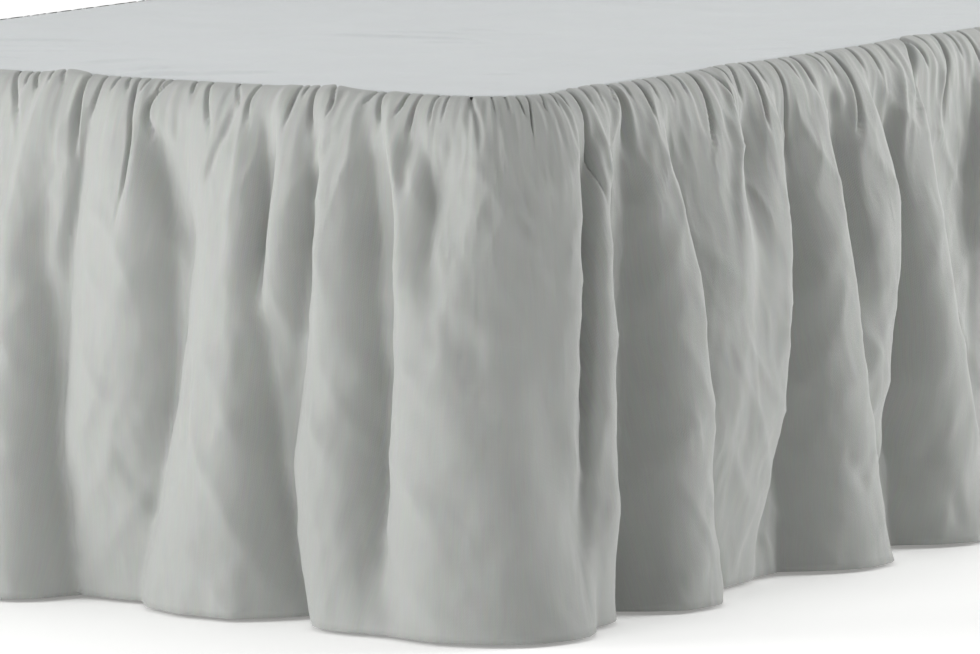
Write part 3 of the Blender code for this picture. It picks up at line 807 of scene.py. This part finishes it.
def ticking_material(name, colour):
    """Woven polyester and cotton cover cloth: dense, matt, with a fine even weave."""
    material, tree = new_material(name)
    coordinates = add_node(tree, "ShaderNodeTexCoord").outputs["Object"]
    wale = add_node(
        tree, "ShaderNodeTexWave",
        {"Vector": coordinates, "Scale": 260.0, "Distortion": 0.6, "Detail": 1.0},
        bands_direction="DIAGONAL",
    )
    mottle = add_node(
        tree, "ShaderNodeTexNoise", {"Vector": coordinates, "Scale": 14.0, "Detail": 5.0}
    )
    base = linear(colour)
    mixed = add_node(
        tree, "ShaderNodeMix",
        {0: mottle.outputs["Fac"], 6: tuple(c * 0.9 for c in base[:3]) + (1.0,), 7: base},
        data_type="RGBA",
    )
    bump_node = add_node(
        tree, "ShaderNodeBump", {"Height": wale.outputs["Fac"], "Strength": 0.3, "Distance": 0.0006}
    )
    shader = add_node(
        tree, "ShaderNodeBsdfPrincipled",
        {
            "Base Color": mixed.outputs[2], "Roughness": 0.85, "IOR": 1.5,
            "Sheen Weight": 0.2, "Sheen Roughness": 0.5, "Normal": bump_node.outputs[0],
        },
    )
    add_node(tree, "ShaderNodeOutputMaterial", {"Surface": shader.outputs[0]})
    return material


def beech_material(name, colour, grain_colour):
    """Steamed beech, turned and lacquered: fine short flecks along the leg, a low gloss."""
    material, tree = new_material(name)
    coordinates = add_node(tree, "ShaderNodeTexCoord").outputs["Object"]
    along_grain = add_node(
        tree, "ShaderNodeMapping", {"Vector": coordinates, "Scale": (120.0, 120.0, 7.0)}
    )
    grain = add_node(
        tree, "ShaderNodeTexNoise",
        {"Vector": along_grain.outputs[0], "Scale": 1.0, "Detail": 6.0, "Roughness": 0.6},
    )
    flecks = add_node(
        tree, "ShaderNodeMapping", {"Vector": coordinates, "Scale": (700.0, 700.0, 90.0)}
    )
    fleck = add_node(
        tree, "ShaderNodeTexNoise", {"Vector": flecks.outputs[0], "Scale": 1.0, "Detail": 1.0}
    )
    mixed = add_node(
        tree, "ShaderNodeMix",
        {0: grain.outputs["Fac"], 6: linear(colour), 7: linear(grain_colour)}, data_type="RGBA",
    )
    dotted = add_node(
        tree, "ShaderNodeMix",
        {0: 0.25, 6: mixed.outputs[2], 7: fleck.outputs["Color"]},
        data_type="RGBA", blend_type="SOFT_LIGHT",
    )
    bump_node = add_node(
        tree, "ShaderNodeBump", {"Height": grain.outputs["Fac"], "Strength": 0.15, "Distance": 0.0004}
    )
    shader = add_node(
        tree, "ShaderNodeBsdfPrincipled",
        {
            "Base Color": dotted.outputs[2], "Roughness": 0.38, "IOR": 1.5,
            "Coat Weight": 0.25, "Coat Roughness": 0.2, "Normal": bump_node.outputs[0],
        },
    )
    add_node(tree, "ShaderNodeOutputMaterial", {"Surface": shader.outputs[0]})
    return material


# How far from the bed the floor's painted glow starts to rise and is full, and both strengths.
FLOOR_GLOW_NEAR = 1.0
FLOOR_GLOW_FAR = 4.5
FLOOR_GLOW_LOW = 0.22
FLOOR_GLOW_FULL = 0.95


def studio_floor_material(name, colour):
    """Matt white acrylic floor with a painted glow of its own, stronger away from the bed."""
    material, tree = new_material(name)
    coordinates = add_node(tree, "ShaderNodeTexCoord").outputs["Object"]
    mottle = add_node(
        tree, "ShaderNodeTexNoise", {"Vector": coordinates, "Scale": 0.8, "Detail": 3.0}
    )
    base = linear(colour)
    mixed = add_node(
        tree, "ShaderNodeMix",
        {0: mottle.outputs["Fac"], 6: tuple(c * 0.99 for c in base[:3]) + (1.0,), 7: base},
        data_type="RGBA",
    )
    away = add_node(tree, "ShaderNodeVectorMath", {0: coordinates}, operation="LENGTH")
    # Painted glow: emission that brightens the floor, weakest near the bed and strongest far from it.
    painted_floor_glow = add_node(
        tree, "ShaderNodeMapRange",
        {"Value": away.outputs["Value"], "From Min": FLOOR_GLOW_NEAR,
         "From Max": FLOOR_GLOW_FAR, "To Min": FLOOR_GLOW_LOW, "To Max": FLOOR_GLOW_FULL},
    )
    shader = add_node(
        tree, "ShaderNodeBsdfPrincipled",
        {
            "Base Color": mixed.outputs[2], "Roughness": 0.95, "Specular IOR Level": 0.1,
            "Emission Color": base, "Emission Strength": painted_floor_glow.outputs[0],
        },
    )
    add_node(tree, "ShaderNodeOutputMaterial", {"Surface": shader.outputs[0]})
    return material


class ClothSettings(PropertyGroup):
    """Colours and weave of the skirt and its deck panel."""

    skirt_colour: StringProperty(
        name="Skirt colour", description="Dyed cotton, as sRGB hex", default="#A4A6A3"
    )
    deck_colour: StringProperty(
        name="Deck colour", description="Lighter cotton under the mattress, as sRGB hex",
        default="#CBD0D1",
    )
    thread_pitch: FloatProperty(
        name="Thread pitch", description="Spacing at which the weave is drawn",
        default=0.0012, unit="LENGTH",
    )
    thread_height: FloatProperty(
        name="Thread height", description="Relief of the weave", default=0.0003, unit="LENGTH"
    )
    crinkle_height: FloatProperty(
        name="Crinkle height", description="Relief of the small creases left from washing",
        default=0.0012, unit="LENGTH",
    )


class BaseSettings(PropertyGroup):
    """Finishes of the bed base and its legs."""

    cover_colour: StringProperty(
        name="Cover colour", description="Woven cover, as sRGB hex", default="#B9B6AE"
    )
    wood_colour: StringProperty(
        name="Wood colour", description="Lacquered beech, as sRGB hex", default="#C79E6E"
    )
    grain_colour: StringProperty(
        name="Grain colour", description="Darker grain of the beech, as sRGB hex",
        default="#A97C4E",
    )


class StageSettings(PropertyGroup):
    """Floor, light and camera."""

    floor_colour: StringProperty(
        name="Floor colour", description="White acrylic floor, as sRGB hex", default="#F7F7F6"
    )
    floor_size: FloatProperty(
        name="Floor size", description="Side of the square floor", default=60.0, unit="LENGTH"
    )
    camera_turn: FloatProperty(
        name="Camera turn", description="Round from straight in front of the foot",
        default=math.radians(31.585), subtype="ANGLE",
    )
    camera_rise: FloatProperty(
        name="Camera rise", description="Above level, looking down",
        default=math.radians(5.455), subtype="ANGLE",
    )
    camera_distance: FloatProperty(
        name="Camera distance", description="From the near corner of the seam",
        default=10.5, unit="LENGTH",
    )
    ambient: FloatProperty(
        name="Ambient", description="Strength of the even light from all round", default=0.14
    )
    left_light: FloatProperty(
        name="Left softbox", description="Power of the softbox at the camera's left, in watts",
        default=64.0,
    )
    front_light: FloatProperty(
        name="Front softbox", description="Power of the softbox in front of the foot, in watts",
        default=54.0,
    )
    right_light: FloatProperty(
        name="Right softbox", description="Power of the softbox at the camera's right, in watts",
        default=112.0,
    )
    top_light: FloatProperty(
        name="Top softbox", description="Power of the overhead softbox, in watts", default=50.0
    )


def settings():
    return bpy.context.scene.bed_skirt


class BEDSKIRT_OT_skirt(Operator):
    """Makes the gathered cotton skirt that hangs round the foot and both sides"""

    bl_idname = "bedskirt.skirt"
    bl_label = "Gathered skirt"

    def execute(self, context):
        cloth = settings().cloth
        mesh = skirt_mesh()
        mesh.materials.append(
            cotton_material("dyed_plain_weave_cotton", cloth.skirt_colour,
                            cloth.thread_pitch, cloth.thread_height, cloth.crinkle_height)
        )
        skirt = link("skirt_cloth", mesh)
        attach(skirt, "root")
        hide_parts("gathered_skirt")
        return {"FINISHED"}


# The deck panel's grid, finer towards the foot, and how it meets the seam.
DECK_FOOT_ROWS = 150
DECK_FOOT_PART = 0.80
DECK_HEAD_ROWS = 70
DECK_COLUMNS = 140
DECK_CORNER_ROWS = 14
DECK_SLACK_HEIGHT = 0.0005
DECK_SLACK_SPAN = (0.12, 0.05)
DECK_LIP = 0.0012
SEAM_ALLOWANCE = 0.009
SEAM_ALLOWANCE_HEIGHT = 0.0006
SEAM_ALLOWANCE_FADE = 0.003
DECK_LIP_WIDTH = 0.005
DECK_FLAT_EDGE = 0.02

# Wrinkles in the deck panel: both ends as x and as the distance from the foot, the height, and
# the half width.
DECK_WRINKLES = (
    (-0.360, 0.235, -0.232, 0.309, 0.0022, 0.008),
    (-0.330, 0.190, -0.180, 0.262, 0.0010, 0.007),
    (-0.300, 0.135, -0.165, 0.214, 0.0012, 0.006),
    (-0.245, 0.085, -0.190, 0.110, 0.0016, 0.006),
    (-0.105, 0.095, -0.070, 0.176, 0.0024, 0.007),
    (-0.036, 0.052, -0.010, 0.108, 0.0030, 0.006),
    (0.012, 0.016, 0.052, 0.052, 0.0040, 0.007),
    (0.052, 0.052, 0.112, 0.118, 0.0030, 0.007),
    (0.002, 0.026, 0.034, 0.074, 0.0024, 0.005),
    (-0.068, 0.490, 0.086, 0.516, 0.0022, 0.009),
    (-0.040, 0.545, 0.040, 0.572, 0.0016, 0.007),
    (0.010, 0.600, 0.052, 0.622, 0.0014, 0.006),
    (0.060, 0.462, 0.100, 0.480, 0.0014, 0.006),
    (0.085, 0.585, 0.130, 0.604, 0.0010, 0.006),
    (0.108, 0.478, 0.132, 0.490, 0.0012, 0.005),
    (0.296, 0.200, 0.320, 0.226, 0.0014, 0.005),
    (0.370, 0.560, 0.410, 0.610, 0.0010, 0.012),
    (-0.350, 1.000, 0.250, 0.950, 0.0010, 0.018),
)


def deck_surface():
    """Points of the deck panel: a laid sheet, pulled down into the seam at its edges."""
    radius, half = SEAM_CORNER_RADIUS, SEAM_HALF_WIDTH
    turn = np.linspace(0, math.pi / 2, DECK_CORNER_ROWS)
    corner_rows = FRONT_Y + radius * (1 - np.cos(turn))
    middle = FRONT_Y + DECK_FOOT_PART
    rows = np.concatenate([
        corner_rows[:-1],
        np.linspace(FRONT_Y + radius, middle, DECK_FOOT_ROWS),
        np.linspace(middle, HEAD_Y, DECK_HEAD_ROWS)[1:],
    ])
    past_corner = np.clip(FRONT_Y + radius - rows, 0, None)
    half_row = half - radius + np.sqrt(np.clip(radius**2 - past_corner**2, 0, None))
    shares = np.sin(np.linspace(-math.pi / 2, math.pi / 2, DECK_COLUMNS))
    x = half_row[:, None] * shares[None, :]
    y = np.repeat(rows[:, None], DECK_COLUMNS, axis=1)
    over_x = np.clip(np.abs(x) - (half - radius), 0, None)
    over_y = np.clip(FRONT_Y + radius - y, 0, None)
    in_corner = (over_x > 0) & (over_y > 0)
    edge = np.where(
        in_corner, radius - np.hypot(over_x, over_y), np.minimum(half - np.abs(x), y - FRONT_Y)
    )
    lift = np.zeros_like(x)
    for x0, y0, x1, y1, height, width in DECK_WRINKLES:
        run, fall = x1 - x0, y1 - y0
        length = math.hypot(run, fall)
        ahead = ((x - x0) * run + (y - FRONT_Y - y0) * fall) / length
        aside = ((x - x0) * fall - (y - FRONT_Y - y0) * run) / length
        ends = smooth_step((ahead / length + 0.1) / 0.3) * smooth_step((1.1 - ahead / length) / 0.3)
        lift += height * ends * np.exp(-((aside / width) ** 2))
    across, down = DECK_SLACK_SPAN
    lift += DECK_SLACK_HEIGHT * (1 + soft_noise(x / across + 30, y / down + 30, 21))
    lift *= smooth_step(edge / DECK_FLAT_EDGE)
    lift += SEAM_ALLOWANCE_HEIGHT * (1 - smooth_step((edge - SEAM_ALLOWANCE) / SEAM_ALLOWANCE_FADE))
    lip = DECK_LIP * (1 - smooth_step(edge / DECK_LIP_WIDTH))
    return np.stack([x, y, DECK_HIGH.z + lift - lip], -1)


class BEDSKIRT_OT_deck(Operator):
    """Lays the cotton deck panel over the top of the bed base"""

    bl_idname = "bedskirt.deck"
    bl_label = "Deck panel"

    def execute(self, context):
        cloth = settings().cloth
        grid = deck_surface()
        mesh = grid_mesh("deck_cloth", grid, grid[..., 0], grid[..., 1])
        mesh.materials.append(
            cotton_material("bleached_plain_weave_cotton", cloth.deck_colour,
                            cloth.thread_pitch, cloth.thread_height, cloth.crinkle_height)
        )
        deck = link("deck_cloth", mesh)
        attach(deck, "root")
        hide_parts("deck_panel")
        return {"FINISHED"}


class BEDSKIRT_OT_base(Operator):
    """Covers the bed base in ticking and finishes its legs in beech"""

    bl_idname = "bedskirt.base"
    bl_label = "Bed base and legs"

    def execute(self, context):
        base = settings().base
        cover = ticking_material("woven_ticking", base.cover_colour)
        wood = beech_material("lacquered_beech", base.wood_colour, base.grain_colour)
        for name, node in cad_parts.items():
            if name == "bed_base":
                finish = cover
            elif name.startswith("leg_"):
                finish = wood
            else:
                continue
            node.data.materials.clear()
            node.data.materials.append(finish)
        return {"FINISHED"}


# Where each softbox stands: degrees round from the camera, degrees up, distance and side.
LIGHT_AIM = (0.2, -0.5, 0.25)
SOFTBOXES = (
    ("left", -78, 14, 3.6, 1.8),
    ("front", -36, 14, 3.8, 1.8),
    ("right", 107, 14, 3.8, 1.8),
    ("top", 170, 80, 3.6, 2.4),
)


def way_out(turn, rise):
    """The direction that far round from in front of the foot and that far up."""
    return Vector((
        math.sin(turn) * math.cos(rise), -math.cos(turn) * math.cos(rise), math.sin(rise)
    ))


def add_softbox(name, turn, rise, distance, size, power, aim):
    """A square area light, placed round the bed as the camera is and turned to a point."""
    data = bpy.data.lights.new(name, "AREA")
    data.shape = "SQUARE"
    data.size = size
    data.energy = power
    lamp = link(name, data)
    way = way_out(turn, rise)
    lamp.location = aim + way * distance
    lamp.rotation_euler = way.to_track_quat("Z", "Y").to_euler()
    return lamp


class BEDSKIRT_OT_stage(Operator):
    """Sets the floor, the studio light and the camera"""

    bl_idname = "bedskirt.stage"
    bl_label = "Floor, light and camera"

    # Where the corner of the seam sits in the frame, from its left and top, and the lens, in
    # widths of the frame.
    CORNER_FROM_LEFT = 510.547 / 980
    CORNER_FROM_TOP = 100.109 / 980
    FRAME_HEIGHT = 654 / 980
    CORNER_SCALE = 1054.137 / 980
    SENSOR = 36.0

    def execute(self, context):
        stage = settings().stage
        corner = Vector((SEAM_HALF_WIDTH, FRONT_Y, SEAM_HEIGHT))
        turn, rise = stage.camera_turn, stage.camera_rise
        back = way_out(turn, rise)
        right = Vector((math.cos(turn), math.sin(turn), 0.0))
        up = back.cross(right)
        data = bpy.data.cameras.new("studio_camera")
        camera = link("studio_camera", data)
        axes = Matrix((right, up, back)).transposed().to_4x4()
        camera.matrix_world = Matrix.Translation(corner + back * stage.camera_distance) @ axes
        data.sensor_width = self.SENSOR
        data.lens = self.CORNER_SCALE * stage.camera_distance * self.SENSOR
        data.shift_x = 0.5 - self.CORNER_FROM_LEFT
        data.shift_y = self.CORNER_FROM_TOP - self.FRAME_HEIGHT / 2
        data.clip_end = 100.0
        context.scene.camera = camera

        half = stage.floor_size / 2
        mesh = bpy.data.meshes.new("studio_floor")
        mesh.from_pydata(
            [(-half, -half, 0), (half, -half, 0), (half, half, 0), (-half, half, 0)], [], [(0, 1, 2, 3)]
        )
        mesh.materials.append(studio_floor_material("matt_white_acrylic", stage.floor_colour))
        link("studio_floor", mesh)

        for name, round_by, up_by, distance, size in SOFTBOXES:
            add_softbox(
                f"{name}_softbox", turn + math.radians(round_by), math.radians(up_by),
                distance, size, getattr(stage, f"{name}_light"), Vector(LIGHT_AIM),
            )
        world = bpy.data.worlds.new("studio_air")
        context.scene.world = world
        world.use_nodes = True
        air = world.node_tree.nodes["Background"]
        air.inputs["Color"].default_value = (1.0, 1.0, 1.0, 1.0)
        air.inputs["Strength"].default_value = stage.ambient
        context.scene.view_settings.view_transform = "Standard"
        return {"FINISHED"}


class BedSkirtSettings(PropertyGroup):
    """All the settings of the bed skirt."""

    cloth: PointerProperty(type=ClothSettings, name="Cloth", description="Skirt and deck panel")
    base: PointerProperty(type=BaseSettings, name="Base", description="Bed base and legs")
    stage: PointerProperty(type=StageSettings, name="Stage", description="Floor, light and camera")


class BEDSKIRT_PT_pieces(Panel):
    """Lists the pieces in the 3D view's sidebar"""

    bl_label = "Bed skirt"
    bl_idname = "BEDSKIRT_PT_pieces"
    bl_space_type = "VIEW_3D"
    bl_region_type = "UI"
    bl_category = "Bed skirt"

    def draw(self, context):
        for operator in PIECE_OPERATORS:
            self.layout.operator(operator.bl_idname)


PIECE_OPERATORS = (BEDSKIRT_OT_skirt, BEDSKIRT_OT_deck, BEDSKIRT_OT_base, BEDSKIRT_OT_stage)
CLASSES = (
    ClothSettings, BaseSettings, StageSettings, BedSkirtSettings,
    *PIECE_OPERATORS, BEDSKIRT_PT_pieces,
)


def register():
    for each in CLASSES:
        bpy.utils.register_class(each)
    bpy.types.Scene.bed_skirt = PointerProperty(type=BedSkirtSettings)


def unregister():
    del bpy.types.Scene.bed_skirt
    for each in reversed(CLASSES):
        bpy.utils.unregister_class(each)


def main():
    register()
    bpy.ops.bedskirt.stage()
    bpy.ops.bedskirt.skirt()
    bpy.ops.bedskirt.deck()
    bpy.ops.bedskirt.base()


if __name__ == "__main__":
    main()
